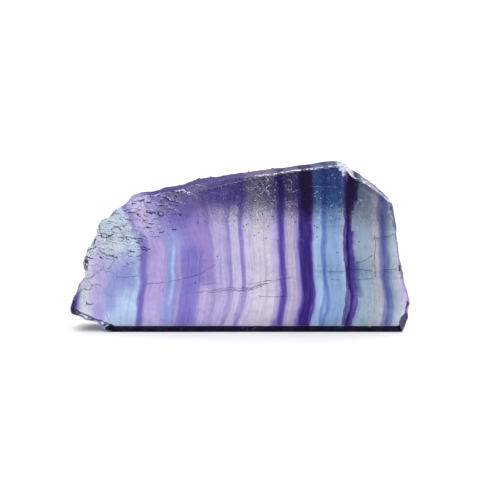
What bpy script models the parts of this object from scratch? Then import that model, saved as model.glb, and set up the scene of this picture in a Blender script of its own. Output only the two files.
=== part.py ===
"""A free-standing slice of banded fluorite: one piece of stone, sawn flat on two faces and along its foot.

Metres, +Z up. The slice stands on its sawn foot, with its length along X and its thickness along Y.
The show face looks along -Y. The origin is the middle of the foot.
"""

import math

import bmesh
import bpy
from mathutils import Euler, Vector, noise

MM = 0.001

# Driving dimensions, in millimetres.
THICKNESS = 10.0
EDGE_EASE = 0.45  # how far the sharp edges of the two sawn faces are worn back
RIM_STEP = 1.7  # the longest straight run between two points of the rim
RIM_RINGS = 6  # rows of points across the thickness, between the two faces

# The rim as (x, z) from the middle of the foot, anticlockwise as the show face is seen,
# and how rough the run that starts at each point is: 0 is sawn, 1 is a natural break.
RIM = [
    (-41.2, 0.0, 0.0),  # the sawn foot
    (53.0, 0.0, 0.8),  # the broken right end
    (54.1, 2.2, 0.8),
    (55.3, 4.6, 0.6),
    (55.4, 9.6, 0.6),
    (54.1, 14.6, 0.6),
    (51.8, 23.8, 0.5),
    (50.8, 32.0, 0.5),
    (49.8, 38.2, 0.6),
    (48.6, 42.4, 0.9),
    (45.0, 45.0, 1.0),
    (41.9, 48.2, 1.0),
    (37.4, 51.6, 1.0),
    (33.4, 54.0, 0.8),
    (31.0, 54.7, 0.25),  # the top, a nearly straight saw cut
    (5.0, 51.4, 0.3),
    (-13.0, 48.8, 0.5),
    (-17.5, 47.0, 0.6),
    (-28.5, 45.0, 0.7),
    (-34.3, 43.9, 1.0),  # the broken left shoulder
    (-36.6, 41.2, 1.0),
    (-40.0, 38.4, 1.0),
    (-44.6, 35.2, 1.0),
    (-45.6, 32.4, 1.0),
    (-46.9, 29.4, 1.0),
    (-49.7, 25.8, 1.0),
    (-50.3, 22.4, 0.9),
    (-50.0, 18.6, 0.9),
    (-50.9, 16.2, 0.9),
    (-53.2, 12.0, 1.0),
    (-54.4, 8.2, 1.0),
    (-54.2, 5.9, 1.0),  # the undercut below the left end
    (-52.0, 4.6, 1.0),
    (-48.6, 3.3, 1.0),
    (-45.4, 1.4, 0.9),
    (-43.2, 0.4, 0.6),
]

# A natural break is flat facets with a finer grain on them.
FACET_MIDDLE = 0.35  # the middle value of the pattern the facets come from
GRAIN_ROUGHNESS, GRAIN_DETAIL, GRAIN_LAYERS = 1.0, 2.0, 3
RIM_FACET, RIM_FACET_RELIEF = 5.5, 1.2  # how wide the rim's facets are and how far they stand out
RIM_GRAIN, RIM_GRAIN_RELIEF = 1.9, 0.3

# The broken shoulder, which leans back from the show face towards the top of the left end.
SHOULDER_START = (-25.5, 36.0)  # (x, z) of a point on the line where it leaves the face
SHOULDER_WAY = (-0.72, 0.69)  # the way in (x, z) in which it gets deeper
SHOULDER_SLOPE = 0.17
SHOULDER_FACET, SHOULDER_FACET_RELIEF = 3.2, 0.8
SHOULDER_GRAIN, SHOULDER_GRAIN_RELIEF = 2.3, 0.3
SHOULDER_REACH = ((-60.0, -8.0), (14.0, 60.0))  # from and to, in x and in z
SHOULDER_CELL = 1.6  # the spacing of the points that shape it

# The narrow bevel ground along the top of the show face: (x, z) of its ends and their widths.
BEVEL_ENDS = [(-17.0, 47.1, 1.7), (12.0, 52.3, 0.0)]
BEVEL_SPARE = 2.0  # how far the tool that ground it reaches past the stone

# Shell-shaped chips out of the sawn edges: (x, z), side (-1 is the show face), length, depth.
CHIPS = [
    ((35.2, 54.4), -1, 5.2, 1.9),
    ((40.6, 50.2), -1, 4.6, 1.5),
    ((46.8, 45.4), -1, 4.2, 1.3),
    ((-7.0, 50.3), 1, 4.0, 1.2),
    ((16.5, 53.6), 1, 3.2, 1.0),
    ((51.6, 30.0), 1, 4.4, 1.1),
    ((-51.8, 15.4), -1, 4.8, 1.4),
    ((-55.0, 8.0), 1, 5.0, 1.5),
    ((54.6, 2.2), 1, 4.2, 1.4),
    ((-30.5, 45.6), 1, 4.6, 1.3),
]
CHIP_RIPPLE = 0.16  # how uneven a chip is, as a share of its size
CHIP_RIPPLES = 1.7  # how many ripples there are across half a chip
CHIP_SHIFT = 3.1  # keeps one chip's ripples from repeating the last one's

FLUORITE_COLOUR = (0.34, 0.27, 0.62, 1.0)
FLUORITE_ROUGHNESS = 0.2
FLUORITE_IOR = 1.434
FLUORITE_CLARITY = 0.85  # the share of the light that goes into the stone and not off its surface


def clear_scene():
    """Removes every object, so that the file holds only the slice."""
    for old in list(bpy.data.objects):
        bpy.data.objects.remove(old)


def fluorite():
    """See-through violet stone."""
    made = bpy.data.materials.new("fluorite")
    made.use_nodes = True
    shader = made.node_tree.nodes["Principled BSDF"]
    shader.inputs["Base Color"].default_value = FLUORITE_COLOUR
    shader.inputs["Roughness"].default_value = FLUORITE_ROUGHNESS
    shader.inputs["Metallic"].default_value = 0.0
    shader.inputs["IOR"].default_value = FLUORITE_IOR
    shader.inputs["Transmission Weight"].default_value = FLUORITE_CLARITY
    return made


def rim_points():
    """The rim cut into runs of RIM_STEP at most: (x, z, roughness) of each point."""
    points = []
    for before, (x0, z0, rough), (x1, z1, _) in zip(RIM[-1:] + RIM[:-1], RIM, RIM[1:] + RIM[:1]):
        runs = max(1, math.ceil(math.hypot(x1 - x0, z1 - z0) / RIM_STEP))
        for i in range(runs):
            share = i / runs
            here = rough if i else min(rough, before[2])
            points.append((x0 + (x1 - x0) * share, z0 + (z1 - z0) * share, here))
    return points


def outward(points, index):
    """The rim's outward direction at a point, in the plane of the slice."""
    x0, z0, _ = points[index - 1]
    x1, z1, _ = points[(index + 1) % len(points)]
    along = Vector((x1 - x0, 0.0, z1 - z0)).normalized()
    return Vector((along.z, 0.0, -along.x))


def break_relief(place, facet, facet_relief, grain, grain_relief):
    """How far a natural break stands out at a place."""
    facets = noise.noise(place / facet, noise_basis="VORONOI_F1") - FACET_MIDDLE
    grains = noise.fractal(place / grain, GRAIN_ROUGHNESS, GRAIN_DETAIL, GRAIN_LAYERS)
    return facet_relief * facets + grain_relief * grains


def rim_relief(place, rough):
    """How far the rim stands out at a place, by how rough it is there."""
    return rough * break_relief(place, RIM_FACET, RIM_FACET_RELIEF, RIM_GRAIN, RIM_GRAIN_RELIEF)


def ring(bm, points, across):
    """One row of rim points. across runs from 0 at the show face to 1 at the back."""
    y = THICKNESS * (across - 0.5)
    ease = EDGE_EASE if across in (0.0, 1.0) else 0.0
    made = []
    for index, (x, z, rough) in enumerate(points):
        place = Vector((x, y, z))
        if rough:
            place += outward(points, index) * (rim_relief(place, rough) - ease)
        place.z = max(place.z, 0.0)
        made.append(bm.verts.new(place * MM))
    return made


def slab_mesh():
    """The slice before it was chipped: two flat faces joined by rows of rim points."""
    bm = bmesh.new()
    points = rim_points()
    ease = EDGE_EASE / THICKNESS
    inner = [ease + (1 - 2 * ease) * i / (RIM_RINGS - 1) for i in range(RIM_RINGS)]
    rings = [ring(bm, points, across) for across in [0.0, *inner, 1.0]]
    for near, far in zip(rings, rings[1:]):
        for i in range(len(points)):
            j = (i + 1) % len(points)
            bm.faces.new((near[i], near[j], far[j], far[i]))
    bm.faces.new(rings[0])
    bm.faces.new(rings[-1])
    bmesh.ops.recalc_face_normals(bm, faces=bm.faces)
    mesh = bpy.data.meshes.new("fluorite_slice")
    bm.to_mesh(mesh)
    bm.free()
    return mesh


def add_cutter(name, bm):
    """A helper that only cuts: it is drawn as wire and left out of renders."""
    bmesh.ops.recalc_face_normals(bm, faces=bm.faces)
    mesh = bpy.data.meshes.new(name)
    bm.to_mesh(mesh)
    bm.free()
    cutter = bpy.data.objects.new(name, mesh)
    cutter.hide_render = True
    cutter.display_type = "WIRE"
    bpy.context.scene.collection.objects.link(cutter)
    return cutter


def shoulder_depth(x, z):
    """How far the broken shoulder lies behind the show face, and under 0 where it misses it."""
    (start_x, start_z), (way_x, way_z) = SHOULDER_START, SHOULDER_WAY
    lean = SHOULDER_SLOPE * ((x - start_x) * way_x + (z - start_z) * way_z)
    place = Vector((x, 0.0, z))
    return lean + break_relief(
        place, SHOULDER_FACET, SHOULDER_FACET_RELIEF, SHOULDER_GRAIN, SHOULDER_GRAIN_RELIEF
    )


def shoulder_cutter():
    """A block in front of the show face, whose inner side is the broken shoulder."""
    (low_x, high_x), (low_z, high_z) = SHOULDER_REACH
    wide, high = high_x - low_x, high_z - low_z
    bm = bmesh.new()
    bmesh.ops.create_grid(
        bm,
        x_segments=round(wide / SHOULDER_CELL),
        y_segments=round(high / SHOULDER_CELL),
        size=0.5,
    )
    for vert in bm.verts:
        x = low_x + (vert.co.x + 0.5) * wide
        z = low_z + (vert.co.y + 0.5) * high
        vert.co = (x, shoulder_depth(x, z) - THICKNESS / 2, z)
    sheet = list(bm.faces)
    pulled = bmesh.ops.extrude_face_region(bm, geom=sheet)["geom"]
    for item in pulled:
        if isinstance(item, bmesh.types.BMVert):
            item.co.y = -THICKNESS
    bmesh.ops.scale(bm, verts=bm.verts, vec=(MM, MM, MM))
    return add_cutter("shoulder_cutter", bm)


def bevel_cutter():
    """A long thin prism along the top of the show face, which tapers away to the right."""
    bm = bmesh.new()
    ends = []
    for x, z, width in BEVEL_ENDS:
        near, top = -THICKNESS / 2 - BEVEL_SPARE, z + BEVEL_SPARE
        size = width + 2 * BEVEL_SPARE
        corners = [(near, top - size), (near + size, top), (near, top)]
        ends.append([bm.verts.new((x, y, height)) for y, height in corners])
    for i in range(3):
        j = (i + 1) % 3
        bm.faces.new((ends[0][i], ends[0][j], ends[1][j], ends[1][i]))
    bm.faces.new(ends[0])
    bm.faces.new(ends[1])
    bmesh.ops.scale(bm, verts=bm.verts, vec=(MM, MM, MM))
    return add_cutter("bevel_cutter", bm)


def turn_along_rim(points, x, z):
    """The turn about Y that lays a chip's length along the rim nearest to it."""
    gaps = [math.hypot(rim_x - x, rim_z - z) for rim_x, rim_z, _ in points]
    way = outward(points, gaps.index(min(gaps)))
    return Euler((0.0, math.atan2(-way.x, -way.z), 0.0)).to_matrix()


def chip_cutters():
    """One shell-shaped cutter for each chip in the sawn edges."""
    bm = bmesh.new()
    points = rim_points()
    for index, ((x, z), side, length, depth) in enumerate(CHIPS):
        made = bmesh.ops.create_icosphere(bm, subdivisions=2, radius=1.0)["verts"]
        shift = Vector((index * CHIP_SHIFT, 0.0, 0.0))
        for vert in made:
            size = 1.0 + CHIP_RIPPLE * noise.noise(vert.co * CHIP_RIPPLES + shift)
            vert.co = Vector((vert.co.x * length / 2, vert.co.y * depth, vert.co.z * depth)) * size
        bmesh.ops.rotate(bm, verts=made, matrix=turn_along_rim(points, x, z))
        bmesh.ops.translate(bm, verts=made, vec=(x, side * THICKNESS / 2, z))
    bmesh.ops.scale(bm, verts=bm.verts, vec=(MM, MM, MM))
    return add_cutter("chip_cutters", bm)


def stand_on_origin(mesh):
    """Moves the finished mesh so that the middle of its foot is the origin."""
    xs = [v.co.x for v in mesh.vertices]
    ys = [v.co.y for v in mesh.vertices]
    lowest = min(v.co.z for v in mesh.vertices)
    middle = Vector(((min(xs) + max(xs)) / 2, (min(ys) + max(ys)) / 2, lowest))
    for vert in mesh.vertices:
        vert.co -= middle


def apply_cuts(slab, cutters):
    """Cuts the slab, and keeps the result as its plain mesh."""
    for cutter in cutters:
        cut = slab.modifiers.new(cutter.name, "BOOLEAN")
        cut.operation = "DIFFERENCE"
        cut.object = cutter
    graph = bpy.context.evaluated_depsgraph_get()
    finished = bpy.data.meshes.new_from_object(slab.evaluated_get(graph))
    slab.modifiers.clear()
    slab.data = finished
    for cutter in cutters:
        bpy.data.objects.remove(cutter)


def main():
    clear_scene()
    slab = bpy.data.objects.new("fluorite_slice", slab_mesh())
    bpy.context.scene.collection.objects.link(slab)
    apply_cuts(slab, [shoulder_cutter(), bevel_cutter(), chip_cutters()])
    stand_on_origin(slab.data)
    slab.data.materials.clear()
    slab.data.materials.append(fluorite())


if __name__ == "__main__":
    main()
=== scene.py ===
"""Looks of a free-standing slice of banded fluorite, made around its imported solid.

Metres, +Z up. The slice stands on its sawn foot, the show face looks along -Y, and the origin is the
middle of the foot. Lists of places are in millimetres from that origin, as (x, z) on the show face.
"""

import contextlib
import math
import random

import bmesh
import bpy
import numpy as np
from bpy.props import FloatProperty, FloatVectorProperty, IntProperty, PointerProperty
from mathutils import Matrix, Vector, kdtree


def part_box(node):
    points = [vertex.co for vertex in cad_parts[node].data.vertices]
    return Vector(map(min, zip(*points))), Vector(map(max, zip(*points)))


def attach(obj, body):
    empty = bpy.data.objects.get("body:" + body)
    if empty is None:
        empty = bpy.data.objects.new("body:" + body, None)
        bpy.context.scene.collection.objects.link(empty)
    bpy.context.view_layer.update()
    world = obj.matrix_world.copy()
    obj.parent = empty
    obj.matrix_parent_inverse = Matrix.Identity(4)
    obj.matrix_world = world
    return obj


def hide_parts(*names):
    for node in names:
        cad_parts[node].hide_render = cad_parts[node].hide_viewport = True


bl_info = {
    "name": "Fluorite Slice",
    "version": (1, 0, 0),
    "blender": (4, 5, 0),
    "location": "View3D > Sidebar > Fluorite",
    "description": "Makes a sawn slice of banded fluorite, with its healed cracks, on a studio stage",
    "category": "Object",
}

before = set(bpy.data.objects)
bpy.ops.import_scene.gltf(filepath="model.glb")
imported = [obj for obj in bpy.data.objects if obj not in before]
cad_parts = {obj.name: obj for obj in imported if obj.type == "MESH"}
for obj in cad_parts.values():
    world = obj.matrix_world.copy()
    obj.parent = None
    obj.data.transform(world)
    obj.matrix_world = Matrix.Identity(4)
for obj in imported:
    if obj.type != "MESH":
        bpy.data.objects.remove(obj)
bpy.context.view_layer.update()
NODE = "fluorite_slice"
BODY = "root"
LOW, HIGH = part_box(NODE)

MM = 0.001
FLOOR_GAP = 0.1 * MM  # how far the floor lies below the foot
RIM_FROM = -29.0  # the left end of the sawn rim, in millimetres, past which the stone is broken
SKIN = 0.12  # clear stone left between the show face and what is sealed behind it, in millimetres
CRACK_FALL = math.radians(9.0)  # how steeply a healed crack falls towards the back
SHEET_ROWS = 3  # how many steps a healed crack takes into the stone
CREASE_DEPTH = 0.5  # how far the darkest creases run into the stone, in millimetres
FINE_DEPTH = 0.35  # how far the small creases do
TRACE_CUTS = 9  # how many points are put between two that a trace names
IN_FRONT = 3.0  # how far in front of the stone its cracks are first drawn, in millimetres
CRUMB_DROP = 5.0  # how far above the stone a crumb starts to fall, in millimetres
SHOULDER_X = (-49.0, -20.0)  # where the broken shoulder has small creases
SHOULDER_Z = (21.0, 46.0)
SHOULDER_CORNER = (-34.0, 44.0)  # where the upper edge of the shoulder bends, as (x, z)
LEDGE_RISE = (0.25, 0.0, 1.0)  # the way from one ledge of the shoulder to the next
LEDGE_PATTERN = 2.2  # how many ledges high the pattern of the ledges is
OUTLINE_REACH = 2.0  # how far from the rim the distance to it is kept, in millimetres
UPPER_RIM = (34.0, 42.0)  # heights over which the rim becomes the upper one
LEFT_END = (-34.0, -27.0)  # places along the slice over which the rim becomes the sawn one
REFRACTION = 1.434  # of fluorite
REFLECTION_TINT = (0.30, 0.22, 0.60)  # violet, so that the dark bands stay rich
CENTIMETRES_IN_A_METRE = 100.0
LIGHT_HEIGHTS = (11.0, 19.0, 42.0, 58.0)  # where the light all round changes, in degrees up
STONE = "slice_body"
PER_METRE = 1000.0

# The bands of the stone at half height, from left to right: where each starts, its colour, and how
# wide the soft edge at its start is.
BANDS = [
    (-60.0, "violet", 1.0),
    (-50.8, "pale_grey", 1.4),
    (-46.2, "lilac", 2.2),
    (-42.0, "ice", 2.6),
    (-31.6, "iris", 1.0),
    (-29.4, "pink_lilac", 1.0),
    (-23.4, "steel", 1.2),
    (-21.8, "cyan", 0.5),
    (-20.9, "lilac", 0.6),
    (-18.8, "blue_violet", 1.6),
    (-12.4, "plum", 3.4),
    (-8.4, "pale_lilac", 1.6),
    (-4.4, "mauve", 0.8),
    (-3.2, "milky", 0.8),
    (-0.4, "violet_line", 0.8),
    (1.0, "milky", 1.0),
    (4.0, "palest", 2.2),
    (10.2, "pale_lilac", 1.4),
    (11.3, "lilac", 0.8),
    (12.1, "violet", 0.6),
    (14.0, "lilac", 0.6),
    (15.0, "rose", 1.0),
    (17.6, "mauve", 0.3),
    (18.2, "lilac", 0.3),
    (18.7, "blue_violet", 0.4),
    (19.2, "indigo", 0.5),
    (20.8, "deep_violet", 0.5),
    (21.4, "indigo", 0.5),
    (23.1, "blue_violet", 0.3),
    (23.6, "pale_blue", 0.4),
    (26.5, "blue_line", 0.7),
    (27.6, "sky", 0.9),
    (32.5, "green_white", 0.8),
    (33.8, "deep_violet", 0.3),
    (36.2, "blue_violet", 0.6),
    (37.0, "grey_blue", 1.0),
    (42.0, "warm_grey", 1.2),
    (45.2, "slate_violet", 1.0),
    (47.4, "grey_blue", 1.4),
    (49.4, "pale_grey", 2.0),
    (53.2, "lilac", 1.0),
]
BANDS_IN_A_RAMP = 14
RAMP_SEAM = 0.4  # how wide the soft edge between two ramps is

# Places where a band changes as it rises: a colour, from and to along the slice, from and to in
# height, and how soft the change is.
PATCHES = [
    ("pink_lilac", -23.0, -20.2, 30.0, 60.0, 3.0),
    ("steel", -42.5, -32.2, 13.0, 25.0, 6.0),
    ("steel", -42.8, -38.0, 6.0, 16.5, 3.0),
    ("pale_lilac", -47.0, -43.0, 9.0, 20.0, 3.0),
    ("steel", -23.0, -17.6, 28.0, 34.0, 4.0),
    ("pale_grey", -45.0, -37.0, 24.5, 31.5, 3.0),
    ("pale_lilac", -29.2, -24.0, -4.0, 7.0, 3.0),
    ("grey_blue", 35.5, 37.2, 33.5, 40.0, 0.6),
    ("slate_violet", 36.0, 37.6, 11.5, 23.7, 1.4),
    ("indigo", 35.8, 37.2, 43.0, 60.0, 0.8),
    ("deep_violet", 33.5, 34.0, 41.0, 60.0, 0.6),
    ("plum", -16.0, -10.0, 28.0, 40.0, 4.0),
    ("pale_lilac", -13.0, -9.0, 1.0, 15.0, 3.0),
    ("violet", 10.9, 12.1, -4.0, 2.2, 1.6),
    ("violet", 18.3, 19.6, -4.0, 2.4, 1.6),
    ("green_white", -43.0, -34.0, 28.0, 42.0, 4.0),
    ("steel", -22.6, -20.4, -4.0, 9.0, 3.0),
    ("blue_violet", -9.5, 1.4, 41.0, 60.0, 3.0),
    ("violet", -19.0, -14.5, 36.0, 46.0, 6.0),
    ("blue_violet", -24.0, -13.0, 35.0, 60.0, 7.0),
]

# How the bands wander with height: for a few places along the slice, (height, shift to the right).
DRIFTS = [
    (-30.0, [(0, -2.8), (3, -2.2), (8, -1.9), (12, -1.5), (16, -0.6), (20, -0.9), (24, -0.4), (28, -0.3),
             (33, -3.2), (39, -5.7), (56, -9)]),
    (0.0, [(0, -2.2), (4, -1.4), (8, -0.1), (12, 0.5), (20, 0.65), (30, 0), (40, 0), (56, -0.3)]),
    (13.0, [(0, -0.6), (4, 0.2), (8, 0.75), (12, 1.2), (16, 0.7), (20, 0.9), (27, 0.5), (35, 0),
            (56, -0.4)]),
    (21.0, [(0, -0.4), (5, 0.1), (8, 0.6), (12, 0.8), (18, 0.3), (26, -0.1), (35, -0.3), (56, -0.7)]),
    (35.0, [(0, -0.6), (4, 0.2), (8, 1.4), (12, 1.4), (16, 0.7), (25, 0.15), (33, -0.2), (56, 0.3)]),
    (47.0, [(0, 1.2), (6, 2.3), (12, 1.8), (16, 0.8), (25, 0.1), (40, -0.8), (56, -1.4)]),
]
DRIFT_REACH = 10.0  # the most that a curve above may shift a band
CURVES_END = 56.0  # where the curves above and below end, upwards and to either side

# Long scratches across the show face, from one place to another.
SCRATCHES = [
    ((-7.6, 48.0), (0.2, 49.4)), ((20.6, 47.9), (31.0, 47.7)), ((16.0, 46.0), (19.4, 46.9)),
    ((-8.8, 46.6), (-8.0, 48.8)), ((25.9, 43.3), (26.7, 47.4)), ((-20.6, 43.6), (-13.0, 46.2)),
    ((6.4, 45.6), (9.6, 48.6)), ((1.8, 47.4), (6.2, 48.0)),
]

# The painted shade of the upper zone: the height of the middle of its soft edge, and its strength, along the
# slice.
DUSK_EDGE = [
    (-56, 58), (-36, 53), (-29, 45), (-24, 38.5), (-14, 39.5), (-8, 38.6), (-2, 38.6),
    (4, 38.5), (12, 38.5), (20, 38.5), (27, 38.2), (34, 37), (40, 36), (46, 34), (56, 31),
]
DUSK_STRENGTH = [
    (-56, 0.4), (-28, 0.75), (-18, 0.82), (-10, 0.81), (2, 0.95), (12, 1.0), (32, 1.0), (38, 0.86),
    (46, 0.52), (56, 0.4),
]
DUSK_HEIGHTS = (20.0, 60.0)  # the heights that the edge above may have
DUSK_SOFTNESS = 5.0

# A hazy level layer in the right half of the slice: its soft edges, and where it fades in.
VEIL_BOTTOM = (17.2, 18.0)
VEIL_TOP = (20.3, 20.9)
VEIL_STARTS = (21.0, 26.0)

# Healed cracks that reach the show face: the depth they run back to, and the traces of those.
CRACKS = {
    1.3: [
        [(-22.6, 16.9), (-19.5, 17.4), (-16.9, 18.2), (-12.7, 19.5), (-7.9, 22.5)],
        [(-15.3, 13.0), (-10.8, 13.6), (-6.3, 14.4), (-1.5, 14.2), (1.8, 13.6), (7.5, 15.3)],
        [(-9.6, 13.3), (-5.4, 13.9), (-0.8, 13.6), (3.6, 14.6), (8.4, 16.0)],
        [(0.6, 15.0), (3.4, 14.8), (6.6, 15.9), (9.8, 16.5)],
        [(28.0, 20.1), (30.5, 20.3), (33.5, 20.0)],
        [(34.5, 20.8), (37.1, 20.9), (42.5, 20.6)],
        [(45.1, 20.7), (48.0, 21.0), (51.8, 20.4)],
        [(36.4, 17.7), (39.0, 17.4), (42.8, 17.9)],
    ],
    0.9: [
        [(-4.5, 14.9), (0.5, 14.7), (4.5, 14.2)],
        [(7.2, 16.9), (11.7, 17.4), (16.8, 18.4)],
        [(3.0, 15.9), (5.2, 16.3), (8.0, 17.2), (10.4, 17.0)],
        [(5.9, 12.0), (11.0, 11.8), (15.2, 12.0)],
        [(37.1, 22.8), (39.5, 23.6), (42.5, 25.7)],
        [(41.9, 31.0), (45.0, 31.3), (48.9, 32.3)],
        [(-30.0, 16.0), (-24.5, 16.6)],
    ],
    0.6: [
        [(-43.5, 6.1), (-42.4, 4.0), (-40.6, 1.8)],
        [(42.8, 32.3), (43.3, 28.0), (42.9, 24.0), (43.5, 18.2)],
        [(-50.1, 8.7), (-48.8, 9.6), (-47.3, 9.3)],
        [(-48.2, 15.6), (-46.0, 15.9), (-44.2, 15.3)],
        [(-39.4, 18.4), (-36.0, 18.2), (-32.6, 19.0)],
        [(29.0, 17.6), (32.0, 17.4)],
        [(-12.0, 15.9), (-8.0, 16.4)],
    ],
}

# Creases of the broken shoulder that show darkest.
CREASES = [
    [(-44.8, 32.3), (-43.5, 32.1), (-41.8, 31.6), (-40.2, 32.1)],
    [(-44.6, 31.6), (-42.6, 31.2), (-41.2, 31.5)], [(-38.6, 31.4), (-36.8, 31.4), (-35.4, 30.5)],
    [(-34.5, 31.0), (-32.6, 31.4), (-30.7, 30.9)], [(-33.2, 29.6), (-31.8, 29.6)],
    [(-31.8, 28.0), (-30.3, 28.2), (-28.2, 27.8)], [(-31.2, 27.5), (-29.4, 27.4)],
    [(-44.2, 26.0), (-42.2, 25.3), (-40.7, 25.1), (-39.0, 24.9)],
    [(-49.1, 26.4), (-47.8, 27.1), (-46.2, 27.7)], [(-49.0, 24.9), (-47.1, 24.2)],
    [(-45.2, 24.5), (-44.2, 24.0)], [(-35.0, 27.3), (-33.6, 26.7)], [(-33.2, 25.2), (-31.5, 25.3)],
    [(-34.3, 42.2), (-33.1, 42.0)], [(-35.5, 39.1), (-33.1, 39.1)], [(-31.5, 43.2), (-30.3, 43.1)],
    [(-29.7, 42.7), (-28.2, 42.7)], [(-29.8, 39.7), (-28.6, 39.2), (-26.2, 39.4), (-24.3, 38.4)],
    [(-29.5, 40.2), (-28.4, 39.9), (-27.2, 39.3)], [(-33.1, 38.4), (-31.5, 37.7)],
    [(-31.1, 37.3), (-29.7, 36.5)], [(-29.4, 35.7), (-27.9, 35.4)], [(-29.7, 34.5), (-28.3, 34.2)],
    [(-40.2, 34.5), (-39.3, 34.5), (-38.0, 33.4)], [(-37.7, 34.6), (-36.3, 35.2)],
    [(-21.5, 34.2), (-20.4, 34.0)], [(-25.7, 33.0), (-24.3, 33.2)], [(-19.4, 38.6), (-18.6, 38.4)],
    [(-22.4, 46.1), (-20.9, 45.9), (-19.4, 45.6)], [(-21.5, 45.2), (-19.8, 44.6)],
    [(-24.0, 44.5), (-22.0, 43.5), (-20.4, 43.0)], [(-49.9, 9.9), (-49.2, 9.7), (-47.6, 9.3)],
]

# Dark specks in the stone.
SPECKS = [
    (5.6, 37.1), (2.1, 35.5), (1.1, 34.9), (5.9, 32.9), (4.6, 32.0), (-14.3, 16.4), (-7.2, 25.1),
    (24.5, 34.6), (24.5, 31.6), (23.6, 35.2), (-21.4, 33.9), (-18.8, 38.8), (-13.3, 36.2), (9.0, 35.0),
    (7.2, 39.0), (10.5, 38.2), (3.4, 38.6), (8.3, 31.2), (16.4, 38.0), (17.6, 36.4), (29.0, 36.6),
    (38.0, 30.0), (-1.8, 36.7), (-0.9, 38.4), (12.0, 30.2), (33.2, 24.0), (31.0, 26.5), (36.2, 12.0),
]

# Dark crumbs on the upper edge, as (x, y).
CRUMBS = [
    (-13.8, 3.6), (-13.2, 4.2), (-5.6, 4.0), (-4.9, 3.4), (2.8, 4.2), (-19.5, 3.8), (10.4, 4.3), (-9.4, 4.4),
]


def length(name, description, default, least=0.0):
    """A length that a user may change."""
    return FloatProperty(name=name, description=description, default=default, min=least, unit="LENGTH")


def strength(name, description, default):
    """The strength of a light, which a user may change."""
    return FloatProperty(name=name, description=description, default=default, min=0.0)


class SliceShape(bpy.types.PropertyGroup):
    """Sizes of the stone's relief."""

    grain: length("Grain", "Spacing of the points that hold the relief", 0.37 * MM, 0.2 * MM)
    ledge: length("Ledge", "How far the ledges of the broken shoulder step in", 0.55 * MM)
    ledge_spacing: length("Ledge Spacing", "Usual height from one ledge to the next", 1.9 * MM, 0.2 * MM)
    rim_relief: length("Rim Relief", "Roughness of the broken and sawn edges", 0.24 * MM)
    small_cracks: IntProperty(
        name="Small Cracks", description="Short cracks in the broken shoulder", default=180, min=0,
    )
    crack_wall: length("Crack Thickness", "Thickness of a healed crack", 0.09 * MM, 0.01 * MM)
    fine_wall: length("Fine Crease Thickness", "Thickness of the small creases", 0.09 * MM, 0.01 * MM)
    crease_wall: length("Crease Thickness", "Thickness of the darkest creases", 0.26 * MM, 0.01 * MM)
    speck_size: length("Speck Size", "Radius of a dark speck", 0.21 * MM)
    crumb_size: length("Crumb Size", "Radius of a dark crumb on the upper edge", 0.34 * MM)
    seed: IntProperty(name="Seed", description="Start of the random draws", default=7)


def colour(name, description, default):
    """A colour that a user may change."""
    return FloatVectorProperty(
        name=name, description=description, default=default, subtype="COLOR", min=0.0, max=1.0
    )


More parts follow.
